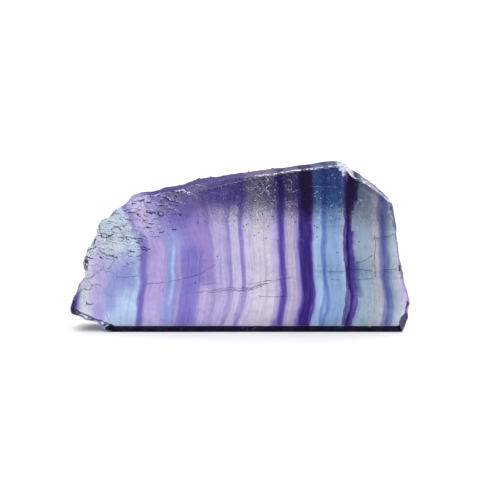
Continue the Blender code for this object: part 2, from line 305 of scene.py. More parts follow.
class StoneColours(bpy.types.PropertyGroup):
    """Colours of the light that comes through each kind of band."""

    palest: colour("Palest", "Nearly clear bands", (0.78, 0.74, 0.75))
    milky: colour("Milky", "Pale lines between the thin violet ones", (0.71, 0.66, 0.80))
    plum: colour("Plum", "The warm edge of the wide blue-violet band", (0.39, 0.31, 0.62))
    rose: colour("Rose", "The narrow rosy band", (0.63, 0.56, 0.65))
    pale_lilac: colour("Pale Lilac", "Wide pale bands", (0.60, 0.55, 0.77))
    lilac: colour("Lilac", "Middle lilac bands", (0.45, 0.41, 0.68))
    pink_lilac: colour("Pink Lilac", "Warm lilac bands", (0.55, 0.45, 0.75))
    mauve: colour("Mauve", "Thin greyish lines", (0.40, 0.33, 0.62))
    violet_line: colour("Violet Line", "Thin violet lines", (0.34, 0.27, 0.60))
    blue_violet: colour("Blue Violet", "Wide blue-violet bands", (0.29, 0.25, 0.62))
    iris: colour("Iris", "The narrow band beside the pink one", (0.21, 0.17, 0.52))
    violet: colour("Violet", "Strong violet bands", (0.11, 0.07, 0.35))
    deep_violet: colour("Deep Violet", "Nearly opaque purple bands", (0.014, 0.005, 0.10))
    indigo: colour("Indigo", "The darkest bands", (0.031, 0.011, 0.155))
    ice: colour("Ice", "Pale blue-white bands", (0.56, 0.74, 0.87))
    pale_blue: colour("Pale Blue", "Pale blue bands", (0.42, 0.62, 0.78))
    sky: colour("Sky", "Clear blue bands", (0.30, 0.485, 0.67))
    cyan: colour("Cyan", "The thin bright blue line", (0.45, 0.65, 0.92))
    blue_line: colour("Blue Line", "Thin blue lines", (0.10, 0.19, 0.50))
    steel: colour("Steel", "Greyish blue bands", (0.36, 0.42, 0.70))
    grey_blue: colour("Grey Blue", "Greenish grey bands", (0.38, 0.52, 0.545))
    warm_grey: colour("Warm Grey", "Pinkish grey bands", (0.52, 0.55, 0.54))
    slate_violet: colour("Slate Violet", "Dull violet lines", (0.10, 0.12, 0.34))
    pale_grey: colour("Pale Grey", "Nearly white ends", (0.66, 0.72, 0.72))
    green_white: colour("Green White", "Pale green edges", (0.52, 0.68, 0.70))
    # Painted shade: the three dusk colours darken the upper part of the show face, standing in for the
    # dimmer light that comes through there.
    dusk: colour("Dusk", "What the dusky skin of the show face lets through", (0.014, 0.014, 0.045))
    dusk_violet: colour("Violet Dusk", "The dusky skin over the violet bands", (0.012, 0.009, 0.080))
    dusk_blue: colour("Blue Dusk", "The dusky skin over the blue bands", (0.012, 0.050, 0.155))
    body: colour("Body", "The haze of the whole stone", (0.765, 0.755, 0.79))
    depth: colour("Depth", "What one centimetre of clear stone lets through", (0.88, 0.86, 0.93))
    # Crack also paints the shade in the creases of the breaks.
    crack: colour("Crack", "Healed cracks", (0.13, 0.10, 0.22))
    break_haze: colour("Break Haze", "The pale look of the broken shoulder", (0.60, 0.64, 0.68))
    # Frost also paints highlights along the ridges of the breaks, and paints the lower right end of the rim
    # pale as if lit.
    frost: colour("Frost", "Crushed edges and frosted breaks", (0.86, 0.85, 0.92))
    rim: colour("Rim", "What the rough sawn rim keeps of its bands' colour", (0.36, 0.31, 0.42))
    rim_top: colour("Upper Rim", "What the upper rim keeps of its bands' colour", (0.17, 0.135, 0.26))
    rim_end: colour("Broken End", "What the broken end keeps of its bands' colour", (0.62, 0.57, 0.62))
    # Painted shade: the outline colour darkens a thin line inside the ends.
    outline: colour("Outline", "The thin dark line inside the broken ends", (0.14, 0.10, 0.26))
    blush: colour("Blush", "The warm violet edge of the lower right end", (0.50, 0.26, 0.66))
    rim_dust: colour("Rim Dust", "Paler dust on the rim", (0.26, 0.25, 0.30))
    # Crease also paints the shade in the rim's hollows.
    crease: colour("Crease", "Dark creases of the broken shoulder", (0.03, 0.022, 0.09))
    # Chalk also paints the highlights along the upper rim's front edge.
    chalk: colour("Chalk", "Crushed white edges", (0.90, 0.89, 0.95))
    # Scratch also paints scuffs pale over the painted shade, as highlights of the light they catch.
    scratch: colour("Scratch", "Fine scratches and grains", (0.75, 0.72, 0.85))
    # Painted shade: the foot is coloured near black because it stands in shade on the floor.
    foot: colour("Foot", "The dull sawn foot", (0.020, 0.016, 0.035))


class StoneStage(bpy.types.PropertyGroup):
    """The floor, the lights and the camera."""

    floor_size: length("Floor", "Radius of the floor", 4.0, 0.5)
    floor_shade: FloatProperty(
        name="Floor Shade", description="How pale the floor is", default=0.90, min=0.0, max=1.0,
        subtype="FACTOR",
    )
    sky_light: strength("Backdrop Light", "Strength of the white surroundings", 1.3)
    ring_light: strength("Ring Light", "Strength of the darker ring above the backdrop", 0.25)
    top_light: strength("Top Light", "Strength of the soft light overhead", 3.2)
    lens: FloatProperty(
        name="Lens", description="Focal length in millimetres", default=85.0, min=10.0
    )
    look_down: FloatProperty(
        name="Look Down", description="How far the camera looks down",
        default=math.radians(13.0), subtype="ANGLE",
    )
    distance: length("Distance", "From the camera to the point it looks at", 0.3659)
    aim_height: length("Aim Height", "Height of the point the camera looks at", 0.02945)


# ---------------------------------------------------------------- helpers for meshes


def settle(made, settings):
    """Gives something new its settings."""
    for key, value in settings.items():
        setattr(made, key, value)
    return made


def placed(name, data):
    """A new object in the scene."""
    made = bpy.data.objects.new(name, data)
    bpy.context.scene.collection.objects.link(made)
    return made


def only(piece):
    """Deselects everything else, and makes this the object that the tools act on."""
    bpy.ops.object.select_all(action="DESELECT")
    piece.select_set(True)
    bpy.context.view_layer.objects.active = piece


@contextlib.contextmanager
def editing(piece):
    """Edit mode on one piece, with its mesh to select in."""
    only(piece)
    bpy.ops.object.mode_set(mode="EDIT")
    mesh = bmesh.from_edit_mesh(piece.data)
    yield mesh
    bmesh.update_edit_mesh(piece.data)
    bpy.ops.object.mode_set(mode="OBJECT")


def select_faces(mesh, wanted):
    """Selects the faces that a test picks, and no others."""
    bpy.ops.mesh.select_all(action="DESELECT")
    bpy.ops.mesh.select_mode(type="FACE")
    for face in mesh.faces:
        face.select_set(wanted(face))


def finish_with(piece, kind, **settings):
    """Adds a modifier with these settings and applies it."""
    only(piece)
    made = settle(piece.modifiers.new(kind.title(), kind), settings)
    bpy.ops.object.modifier_apply(modifier=made.name)


def points_of(piece):
    """A mesh's points as an array in millimetres."""
    flat = np.empty(len(piece.data.vertices) * 3, np.float32)
    piece.data.vertices.foreach_get("co", flat)
    return flat.reshape(-1, 3) * PER_METRE


def weigh(piece, name, weights):
    """Makes a vertex group with a weight for every point."""
    group = piece.vertex_groups.new(name=name)
    weights = np.round(weights, 2)
    for level in np.unique(weights):
        if level > 0.0:
            group.add(np.flatnonzero(weights == level).tolist(), float(level), "REPLACE")
    return group.name


def smooth(value, low, high):
    """0 below low, 1 above high, and a smooth rise between them."""
    share = np.clip((value - low) / (high - low), 0.0, 1.0)
    return share * share * (3.0 - 2.0 * share)


def texture(name, kind, **settings):
    """A texture that pushes a surface in and out."""
    return settle(bpy.data.textures.new(name, kind), settings)


# ---------------------------------------------------------------- helpers for materials


class Paint:
    """A new material, and short ways to add nodes to it. Places are in millimetres."""

    def __init__(self, name):
        self.material = bpy.data.materials.new(name)
        self.material.use_nodes = True
        self.nodes = self.material.node_tree.nodes
        self.links = self.material.node_tree.links
        self.shader = self.nodes["Principled BSDF"]
        self.base = (1.0, 1.0, 1.0)
        here = self.add("TexCoord").outputs["Object"]
        self.place = self.vector("SCALE", here, Scale=PER_METRE)
        self.x, self.y, self.z = self.add("SeparateXYZ", Vector=self.place).outputs

    def join(self, value, socket):
        """Sets a socket, or joins another socket to it."""
        if isinstance(value, bpy.types.NodeSocket):
            self.links.new(value, socket)
        elif socket.type == "RGBA":
            socket.default_value = (*value[:3], 1.0)
        else:
            socket.default_value = value

    def fill(self, node, inputs):
        """Sets or joins inputs, found by their number or their name."""
        for key, value in inputs.items():
            if isinstance(key, str):
                key = key.replace("_", " ")
            self.join(value, node.inputs[key])
        return node

    def add(self, kind, settings=(), **inputs):
        """A node with its settings and its named inputs."""
        return self.fill(settle(self.nodes.new("ShaderNode" + kind), dict(settings)), inputs)

    def give(self, **inputs):
        """Sets or joins inputs of the material's own shader."""
        self.fill(self.shader, inputs)

    def vector(self, operation, *values, **inputs):
        made = self.add("VectorMath", {"operation": operation}, **inputs)
        return self.fill(made, dict(enumerate(values))).outputs[0]

    def dot(self, a, b):
        """How far a place lies along a direction."""
        made = self.add("VectorMath", {"operation": "DOT_PRODUCT"})
        return self.fill(made, {0: a, 1: b}).outputs["Value"]

    def math(self, operation, a, b=0.0):
        made = self.add("Math", {"operation": operation})
        return self.fill(made, {0: a, 1: b}).outputs[0]

    def plus(self, total, *others):
        for other in others:
            total = self.math("ADD", total, other)
        return total

    def times(self, product, *others):
        for other in others:
            product = self.math("MULTIPLY", product, other)
        return product

    def most(self, a, b):
        return self.math("MAXIMUM", a, b)

    def rise(self, value, low, high, start=0.0, end=1.0, kind="SMOOTHSTEP"):
        """start where value is low, end where it is high, and smooth between."""
        return self.add(
            "MapRange", {"interpolation_type": kind},
            Value=value, From_Min=low, From_Max=high, To_Min=start, To_Max=end,
        ).outputs[0]

    def fall(self, value, low=0.0, high=1.0, end=0.0):
        """1 where value is low, end where it is high, and smooth between."""
        return self.rise(value, low, high, 1.0, end)

    def span(self, value, first, last):
        """1 from the soft edge called first to the one called last, and 0 outside."""
        return self.times(self.rise(value, *first), self.fall(value, *last))

    def sway(self, value, low, high, reach):
        """A shift from -reach where value is low to reach where it is high."""
        return self.rise(value, low, high, -reach, reach, kind="LINEAR")

    def blend(self, share, a, b, how="MIX"):
        """A mix of two colours."""
        made = self.add("Mix", {"data_type": "RGBA", "blend_type": how})
        return self.fill(made, {0: share, 6: a, 7: b}).outputs[2]

    def between(self, share, a, b):
        """A mix of two numbers."""
        made = self.add("Mix", {"data_type": "FLOAT"})
        return self.fill(made, {0: share, 2: a, 3: b}).outputs[0]

    def tint(self, tone):
        """Multiplies the base colour by a tone."""
        self.base = self.blend(1.0, self.base, tone, "MULTIPLY")

    def darken(self, tone, *shares):
        """Tints the base colour, as far as the shares say together."""
        self.tint(self.blend(self.times(*shares), (1.0,) * 3, tone))

    def cover(self, colour_over, *shares):
        """Lays a colour over the base colour, as far as the shares say together."""
        self.base = self.blend(self.times(*shares), self.base, colour_over)

    def relief(self, strength, depth, height):
        """Bumps on the surface, with their depth in millimetres."""
        bump = self.add("Bump", Strength=strength, Distance=depth * MM, Height=height)
        self.give(Normal=bump.outputs[0])

    def stored(self, name):
        """A number that the mesh holds for each point."""
        return self.add("Attribute", {"attribute_name": name}).outputs["Fac"]

    def noise(self, size, place=None, stretch=(1.0, 1.0, 1.0), detail=2.0, rough=0.5):
        """Cloudy noise from 0 to 1, with features about size wide, times stretch along each axis."""
        frequency = tuple(1.0 / (size * s) for s in stretch)
        place = self.vector("MULTIPLY", place or self.place, frequency)
        made = self.add("TexNoise", Vector=place, Scale=1.0, Detail=detail, Roughness=rough)
        return made.outputs["Fac"]

    def curve(self, value, points, low, high, reach):
        """A curve through points, for values from low to high. Its heights lie within reach."""
        bottom, top = reach
        share = self.rise(value, low, high, kind="LINEAR")
        made = self.add("FloatCurve", Value=share)
        line = made.mapping.curves[0]
        spots = [((x - low) / (high - low), (y - bottom) / (top - bottom)) for x, y in points]
        while len(line.points) < len(spots):
            line.points.new(0.5, 0.5)
        for point, spot in zip(line.points, spots):
            point.location = spot
        made.mapping.update()
        return self.rise(made.outputs[0], 0.0, 1.0, bottom, top, kind="LINEAR")


def ramp(paint, value, bands, low, high, tints):
    """A colour ramp over part of the bands. Each band is flat between its soft edges."""
    made = paint.add("ValToRGB", Fac=paint.rise(value, low, high, kind="LINEAR"))
    elements = made.color_ramp.elements
    made.color_ramp.interpolation = "EASE"
    stops = []
    ends = [band[0] for band in bands[1:]] + [high]
    edges = [band[2] for band in bands[1:]] + [0.0]
    for (start, name, edge), end, next_edge in zip(bands, ends, edges):
        first, last = start + edge / 2, end - next_edge / 2
        if last <= first:
            stops.append(((first + last) / 2, name))
        else:
            stops += [(first, name), (last, name)]
    while len(elements) < len(stops):
        elements.new(1.0)
    for element, (at, name) in zip(elements, stops):
        element.position = min(1.0, max(0.0, (at - low) / (high - low)))
        element.color = (*getattr(tints, name), 1.0)
    return made.outputs["Color"]


def edge(at, soft):
    """Where a soft edge starts and ends."""
    return at - soft / 2, at + soft / 2


def banding(paint, along, tints):
    """The colour of the bands at a place along the slice: one ramp after another, then the patches."""
    found = None
    for first in range(0, len(BANDS), BANDS_IN_A_RAMP):
        part = BANDS[first : first + BANDS_IN_A_RAMP + 1]
        low = part[0][0]
        if len(part) > BANDS_IN_A_RAMP:
            high = part.pop()[0]
        else:
            high = HIGH.x * PER_METRE
        made = ramp(paint, along, part, low, high, tints)
        if found is not None:
            made = paint.blend(paint.rise(along, *edge(low, RAMP_SEAM)), found, made)
        found = made
    for name, left, right, bottom, top, soft in PATCHES:
        inside = paint.times(
            paint.span(along, edge(left, soft), edge(right, soft)),
            paint.span(paint.z, edge(bottom, soft), edge(top, soft)),
        )
        found = paint.blend(inside, found, getattr(tints, name))
    return found


def drifted(paint):
    """The place along the slice, straightened so that each band is upright."""
    shift = None
    for index, (station, points) in enumerate(DRIFTS):
        here = paint.curve(paint.z, points, 0.0, CURVES_END, (-DRIFT_REACH, DRIFT_REACH))
        if shift is None:
            shift = here
        else:
            shift = paint.between(paint.rise(paint.x, DRIFTS[index - 1][0], station), shift, here)
    slow = paint.sway(paint.noise(13.0, stretch=(1.2, 1.0, 0.8)), 0.0, 1.0, 1.1)
    fast = paint.sway(paint.noise(2.4, detail=3.0), 0.0, 1.0, 0.55)
    calm = paint.rise(paint.x, 24.0, 34.0, 0.35, 1.0)
    straight = paint.math("SUBTRACT", paint.x, shift)
    return paint.plus(straight, paint.times(paint.y, 0.03), slow, paint.times(fast, calm))


def dusk_share(paint):
    """How far a place is into the painted shade of the upper zone, from 0 to 1, with a grainy edge."""
    middle = paint.curve(paint.x, DUSK_EDGE, -CURVES_END, CURVES_END, DUSK_HEIGHTS)
    strength = paint.curve(paint.x, DUSK_STRENGTH, -CURVES_END, CURVES_END, (0.0, 1.0))
    above = paint.math("SUBTRACT", paint.z, middle)
    grain = paint.sway(paint.noise(0.26, detail=2.0, rough=0.7), 0.25, 0.75, 4.0)
    patch = paint.sway(paint.noise(6.0), 0.2, 0.8, 1.5)
    deep = paint.rise(paint.plus(above, grain, patch), -DUSK_SOFTNESS, DUSK_SOFTNESS)
    return paint.times(deep, strength)


def scratches(paint):
    """Fine straight scratches in a few directions, from 0 to 1."""
    found = 0.0
    for turn, size in ((0.9, 0.30), (-0.7, 0.26), (0.15, 0.28), (2.2, 0.24)):
        turned = paint.add(
            "VectorRotate", {"rotation_type": "Y_AXIS"}, Vector=paint.place, Angle=turn
        ).outputs[0]
        marks = paint.noise(size, turned, stretch=(28.0, 8.0, 1.0), detail=0.0)
        where = paint.noise(3.0, turned)
        line = paint.times(paint.rise(marks, 0.69, 0.76), paint.rise(where, 0.46, 0.60))
        found = paint.most(found, line)
    return found


def long_scratches(paint):
    """The long scratches, from 0 to 1, broken here and there."""
    flat = paint.vector("MULTIPLY", paint.place, (1.0, 0.0, 1.0))
    wavy = paint.sway(paint.noise(3.0), 0.2, 0.8, 0.25)
    found = 0.0
    for (x, z), (end_x, end_z) in SCRATCHES:
        reach = Vector((end_x - x, 0.0, end_z - z))
        from_start = paint.vector("SUBTRACT", flat, (x, 0.0, z))
        along = paint.dot(from_start, reach.normalized())
        across = paint.dot(from_start, Vector((-reach.z, 0.0, reach.x)).normalized())
        near = paint.fall(paint.math("ABSOLUTE", paint.plus(across, wavy)), 0.04, 0.15)
        within = paint.span(along, (0.0, 0.6), (reach.length - 0.6, reach.length))
        found = paint.most(found, paint.times(near, within))
    return paint.times(found, paint.rise(paint.noise(0.6), 0.35, 0.55, 0.15, 0.9))


def curls(paint):
    """Fine curly scuffs, from 0 to 1."""
    found = 0.0
    for size, shift in ((1.1, 0.0), (0.7, 40.0)):
        place = paint.vector("ADD", paint.place, (shift, 0.0, shift))
        drawn = paint.noise(size, place, detail=2.0, rough=0.6)
        off = paint.math("ABSOLUTE", paint.math("SUBTRACT", drawn, 0.5))
        broken = paint.rise(paint.noise(1.1, place), 0.53, 0.60)
        found = paint.most(found, paint.times(paint.fall(off, 0.010, 0.028), broken))
    return found


def scuffs(paint):
    """All scratches and curls together, from 0 to 1. They are fainter over the blue band."""
    fine = paint.times(
        paint.most(scratches(paint), curls(paint)),
        paint.rise(paint.noise(4.0, detail=2.0), 0.40, 0.62, 0.25, 1.0),
        paint.rise(paint.noise(0.34, detail=2.0), 0.38, 0.60, 0.3, 1.0),
    )
    over_blue = paint.span(paint.x, (22.0, 25.0), (32.0, 35.0))
    return paint.times(paint.most(fine, long_scratches(paint)), paint.fall(over_blue, end=0.3))


def pits(paint, spacing, size, share):
    """Round pits, from 0 outside to 1 inside. Only a share of the cells has one."""
    cells = paint.add(
        "TexVoronoi", {"feature": "F1"}, Vector=paint.place, Scale=1.0 / spacing, Randomness=1.0
    )
    near = paint.fall(cells.outputs["Distance"], size / spacing * 0.6, size / spacing)
    drawn = paint.add("SeparateColor", Color=cells.outputs["Color"]).outputs[0]
    return paint.times(near, paint.math("LESS_THAN", drawn, share))


def colour_stone(paint, tints):
    """Lays the bands, fine streaks along them, painted light low down, painted shade over the upper part of
    the show face, and painted shade along its foot.

    Gives back how far each place is in the painted shade of the upper zone, and the colour that scuffs have
    there, pale as painted highlights.
    """
    along = drifted(paint)
    paint.base = banding(paint, along, tints)
    paleness = paint.add("RGBToBW", Color=paint.base).outputs[0]
    darkest = paint.fall(paleness, 0.02, 0.08)
    paint.tint(tints.body)
    # Painted light: brightens the lowest part of the stone, making up for the shade it casts on the floor
    # seen behind it.
    painted_low_light = paint.rise(paint.z, 1.0, 15.0, 1.28, 1.0)
    paint.tint(paint.add("CombineXYZ", X=painted_low_light, Y=painted_low_light, Z=painted_low_light).outputs[0])
    upright = paint.add(
        "CombineXYZ", X=along, Y=paint.times(paint.y, 0.05), Z=paint.times(paint.z, 0.05)
    ).outputs[0]
    for size, tone in ((0.9, (0.82, 0.82, 0.88)), (0.35, (0.87, 0.87, 0.92))):
        streak = paint.noise(size, upright, detail=1.0)
        paint.darken(tone, paint.rise(streak, 0.42, 0.72))
        paint.cover(tints.violet, paint.rise(streak, 0.50, 0.66, 0.0, 0.4), darkest)
    for size, tone in ((8.0, (0.80, 0.80, 0.88)), (1.8, (0.82, 0.84, 0.88))):
        cloud = paint.noise(size, stretch=(1.3, 1.0, 0.8), detail=3.0)
        paint.darken(tone, paint.rise(cloud, 0.45, 0.75))
    veil = paint.times(paint.span(paint.z, VEIL_BOTTOM, VEIL_TOP), paint.rise(paint.x, *VEIL_STARTS))
    ragged = paint.rise(paint.noise(1.2, detail=3.0, rough=0.7), 0.35, 0.65)
    paint.darken((0.66, 0.66, 0.72), veil, ragged)
    clear = paint.base
    show_side = paint.fall(paint.y, -1.0, 1.0)
    # Painted shade over the upper part of the show face: violet, blue or grey by band, and deepest over the
    # darkest bands.
    dusk = paint.times(dusk_share(paint), show_side)
    tone = paint.blend(paint.rise(along, 0.8, 2.4), tints.dusk_violet, tints.dusk)
    over_blue = paint.span(along, (23.0, 24.4), (33.0, 34.2))
    paint.darken(paint.blend(over_blue, tone, tints.dusk_blue), dusk)
    paint.darken((0.08, 0.08, 0.10), dusk, darkest)
    # Painted shade: a dark strip with a ragged upper edge along the foot of the show face, where the foot
    # stands in shade.
    ragged_mottle = paint.rise(paint.noise(0.5, detail=3.0, rough=0.7), 0.3, 0.7, -0.5, 0.7, kind="LINEAR")
    foot_shade_share = paint.rise(paint.plus(paint.z, ragged_mottle), 0.3, 1.2, 0.9, 0.0)
    paint.darken(tints.foot, foot_shade_share, show_side)
    # The colour of scuffs: the stone's colour without its painted shade, made paler, so scratches read as
    # painted highlights.
    scuff_and_glint = paint.blend(paint.rise(paleness, 0.1, 0.5, 0.0, 0.5), clear, tints.scratch)
    return dusk, paint.blend(paint.rise(paleness, 0.03, 0.12, 0.1, 1.0), paint.base, scuff_and_glint)


def shade_and_mark_dusk(paint, tints, dusk, scuff_and_glint, marks, inset):
    """Painted shade of the dusky zone, speckled, patchy and deepest under the upper edge, its scuffs and
    pits painted pale as highlights, and dark dots further down.
    """
    # Painted shade: dark speckles and patches over the dusky zone.
    shade_speckle = paint.rise(paint.noise(0.33, detail=2.0, rough=0.6), 0.50, 0.58)
    paint.darken((0.10, 0.10, 0.18), shade_speckle, dusk)
    shade_patches = paint.rise(paint.noise(1.6, detail=2.0), 0.45, 0.6, 0.0, paint.times(dusk, 0.5))
    paint.darken((0.3, 0.3, 0.5), shade_patches)
    # Painted shade, deepening towards the upper edge and darkest in a band just under it.
    paint.darken((0.30, 0.32, 0.50), paint.rise(paint.z, 41.0, 49.0, 0.0, 0.95), dusk)
    shade_under_edge = paint.rise(inset, 0.7, 1.7, 0.9, 0.0)
    paint.darken((0.34, 0.34, 0.46), shade_under_edge, paint.rise(paint.z, 43.0, 45.0))
    # Scratches and pits over the painted shade are real marks, painted pale as highlights of the light they
    # catch.
    paint.cover(scuff_and_glint, marks, dusk, 0.32)
    paint.cover(scuff_and_glint, pits(paint, 0.9, 0.2, 0.3), dusk, 0.5)
    paint.cover(tints.crack, pits(paint, 1.1, 0.16, 0.35), paint.rise(paint.z, 20.0, 36.0, 0.0, 0.7))


def frost_breaks(paint, tints, broken, frost):
    """Haze and frost over the breaks, with painted shade in their creases and painted highlights along their
    ridges.
    """
    hazy = paint.rise(paint.noise(3.0, detail=3.0), 0.35, 0.65, 0.25, 0.75)
    paint.cover(tints.break_haze, broken, hazy, paint.rise(paint.z, 10.0, 22.0, 0.3, 1.0))
    paint.cover(tints.frost, paint.rise(frost, 0.42, 0.75, 0.0, 0.5), broken)
    # Painted shade in the creases and painted highlights along the ridges, from how hollow the surface is at
    # each point.
    hollow = paint.stored("hollow")
    paint.cover(tints.crack, paint.rise(hollow, 0.10, 0.30, 0.0, 0.85))
    paint.cover(tints.frost, paint.rise(hollow, -0.25, -0.05, 0.8, 0.0))


def shade_and_wear_ends(paint, tints, inset, frost):
    """A thin line of painted shade inside the ends, a warm edge low on the right, and two crushed white
    places.
    """
    ends = paint.most(paint.rise(paint.x, 46.0, 49.0), paint.fall(paint.x, -38.0, -34.0))
    upper_end = paint.times(paint.fall(paint.x, -34.0, -31.0), paint.rise(paint.z, 30.0, 35.0))
    # Painted shade: a thin dark line just inside the outline of both ends.
    outline_shade = paint.times(ends, paint.rise(paint.z, 1.0, 3.0), paint.fall(upper_end))
    paint.darken(tints.outline, outline_shade, paint.rise(inset, 0.2, 0.8, 0.85, 0.0))
    frayed = paint.times(upper_end, paint.rise(inset, 0.6, 2.0, 0.75, 0.0))
    paint.cover(tints.chalk, frayed, paint.rise(frost, 0.35, 0.60))
    low_end = paint.times(paint.rise(paint.x, 50.0, 52.0), paint.fall(paint.z, 14.0, 19.0))
    paint.cover(tints.blush, low_end, paint.rise(inset, 0.8, 1.8, 0.7, 0.0))
    above_chip = paint.math("SUBTRACT", paint.plus(paint.z, paint.times(paint.x, 1.15)), 89.2)
    chipped = paint.rise(paint.plus(above_chip, paint.sway(frost, 0.3, 0.7, 1.6)), -0.6, 0.8)
    right_of, left_of = paint.rise(paint.x, 29.6, 31.0), paint.rise(paint.x, 32.6, 34.0, 0.8, 0.0)
    paint.cover(tints.chalk, chipped, right_of, left_of)


def clear_stone(paint, tints):
    """Makes the stone see-through, and a little darker with depth."""
    paint.give(IOR=REFRACTION, Transmission_Weight=1.0, Specular_Tint=REFLECTION_TINT)
    lost = [-math.log(c) * CENTIMETRES_IN_A_METRE for c in tints.depth]
    density = max(lost) / 0.5
    absorb = paint.add("VolumeAbsorption", Density=density, Color=[1.0 - each / density for each in lost])
    paint.links.new(absorb.outputs[0], paint.nodes["Material Output"].inputs["Volume"])


def fluorite(tints):
    """The see-through stone: sawn and lightly polished faces, and frosted broken edges."""
    paint = Paint("banded_fluorite")
    dusk, scuff_and_glint = colour_stone(paint, tints)
    marks = scuffs(paint)
    ragged = paint.sway(paint.noise(0.7, detail=3.0), 0.3, 0.7, 0.35)
    inset = paint.plus(paint.stored("inset"), ragged)
    shade_and_mark_dusk(paint, tints, dusk, scuff_and_glint, marks, inset)
    broken = paint.times(paint.stored("broken"), paint.fall(paint.x, -31.0, -24.0, 0.2))
    frost = paint.noise(0.8, detail=4.0, rough=0.65)
    frost_breaks(paint, tints, broken, frost)
    shade_and_wear_ends(paint, tints, inset, frost)
    polish = paint.rise(paint.noise(2.0, detail=3.0), 0.3, 0.7, 0.05, 0.12)
    frosted = paint.rise(frost, 0.3, 0.7, 0.12, 0.38)
    rough = paint.plus(paint.between(broken, polish, frosted), paint.times(marks, 0.2))
    paint.give(Base_Color=paint.base, Roughness=rough)
    waves = paint.times(paint.noise(0.6, detail=3.0), 0.5)
    grit = paint.times(paint.noise(0.35, detail=4.0, rough=0.6), broken, 3.0)
    paint.relief(0.25, 0.05, paint.plus(waves, grit, paint.times(marks, -0.5)))
    clear_stone(paint, tints)
    return paint.material


def foot_in_shade(tints):
    """The foot, painted near black as the shade it stands in on the floor, with paler mottling, and saw
    lines that run from front to back.
    """
    paint = Paint("foot_in_shade")
    saw = paint.noise(0.4, stretch=(1.0, 20.0, 1.0), detail=2.0)
    ragged_mottle = paint.rise(paint.noise(4.0, detail=3.0), 0.35, 0.7)
    paint.give(
        Base_Color=paint.blend(ragged_mottle, tints.foot, [c * 2.0 for c in tints.foot]),
        Roughness=paint.rise(saw, 0.3, 0.7, 0.6, 0.9),
        Specular_IOR_Level=0.0,
    )
    return paint.material


def frosted_rim(tints):
    """The rough sawn rim, with painted shade in its hollows, a painted highlight along its upper front edge,
    pale patches near the front of its upper right that are crushed stone and painted highlight, and a lower
    right end painted pale as if lit.
    """
    paint = Paint("frosted_rim")
    paint.base = banding(paint, drifted(paint), tints)
    broken_end = paint.fall(paint.x, *LEFT_END)
    keeps = paint.blend(paint.rise(paint.x, 36.0, 46.0), tints.rim_top, tints.rim)
    paint.tint(paint.blend(broken_end, keeps, tints.rim_end))
    chalk = paint.noise(0.9, detail=4.0, rough=0.7)
    paint.cover(tints.rim_dust, paint.rise(chalk, 0.42, 0.74), paint.rise(paint.x, 40.0, 46.0, 0.2, 0.7))
    dirt = paint.noise(0.6, stretch=(1.6, 1.0, 1.0), detail=3.0, rough=0.7)
    dirty = paint.times(paint.rise(dirt, 0.46, 0.64), paint.rise(paint.x, -2.0, 8.0, 0.85, 0.5))
    paint.cover(tints.crease, dirty, paint.fall(paint.x, 40.0, 47.0, 0.55), paint.fall(broken_end, end=0.5))
    # Painted shade in the rim's hollows.
    crevice_shade = paint.rise(paint.stored("hollow"), 0.03, 0.2, 0.0, 0.8)
    paint.cover(tints.crease, crevice_shade, paint.fall(broken_end, end=0.45))
    # Painted light: the lower right end is painted pale so that it looks lit.
    low_end = paint.times(paint.fall(paint.z, 4.0, 14.0), paint.rise(paint.x, 50.0, 52.0))
    paint.cover(tints.frost, low_end, 0.85)
    inset = paint.plus(paint.y, HIGH.y * PER_METRE)
    ragged = paint.sway(chalk, 0.3, 0.7, 0.35)
    upper = paint.rise(paint.z, *UPPER_RIM)
    behind = paint.rise(paint.plus(inset, paint.times(ragged, 3.0)), 8.6, 9.6, 0.0, 0.8)
    paint.cover(tints.crease, behind, upper)
    # Painted highlight: a pale line along the front edge of the upper rim.
    edge_highlight = paint.times(paint.fall(paint.plus(inset, ragged), 0.25, 0.75), upper)
    corner = paint.times(paint.span(paint.x, (30.0, 31.5), (35.0, 36.5)), paint.fall(chalk, 0.54, 0.70))
    slope = paint.times(paint.span(paint.x, (37.5, 39.0), (46.0, 54.0)), paint.fall(chalk, 0.42, 0.56))
    # Pale patches near the front of the upper right: crushed stone, and painted highlight.
    wear_and_highlight = paint.times(paint.most(corner, slope), paint.fall(inset, 4.0, 8.0), 0.6)
    paint.cover(tints.chalk, paint.most(edge_highlight, wear_and_highlight))
    rough = paint.rise(chalk, 0.3, 0.7, 0.45, 0.8)
    paint.give(Base_Color=paint.base, Roughness=rough, Specular_IOR_Level=0.2)
    grit = paint.times(paint.noise(0.3, detail=4.0, rough=0.6), 0.7)
    paint.relief(0.6, 0.15, paint.plus(chalk, grit))
    return paint.material


def sealed_sheet(name, shade, thinnest, thickest=0.95):
    """A veil of tiny hollows, thin in places."""
    paint = Paint(name)
    veil = paint.noise(0.7, detail=3.0, rough=0.7)
    paint.give(
        Base_Color=paint.blend(paint.rise(veil, 0.35, 0.7), shade, [c * 1.8 for c in shade]),
        Alpha=paint.rise(veil, 0.38, 0.62, thickest, thinnest),
        Roughness=paint.rise(veil, 0.3, 0.7, 0.3, 0.6),
    )
    return paint.material


# ---------------------------------------------------------------- the stone


def start_stone(shape):
    """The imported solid's own shape as an even, closed mesh."""
    stone = placed(STONE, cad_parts[NODE].data.copy())
    stone.data.materials.clear()
    with editing(stone):
        bpy.ops.mesh.select_all(action="SELECT")
        bpy.ops.mesh.remove_doubles(threshold=0.001 * MM)
        bpy.ops.mesh.normals_make_consistent(inside=False)
    finish_with(stone, "REMESH", mode="VOXEL", voxel_size=shape.grain, adaptivity=0.0)
    return stone


def past_break(x, z, start):
    """How far a place lies past the line along which the shoulder broke off, towards the upper left.

    The line crosses the height of 33 millimetres at start.
    """
    return -0.72 * (x - start) + 0.69 * (z - 33.0)


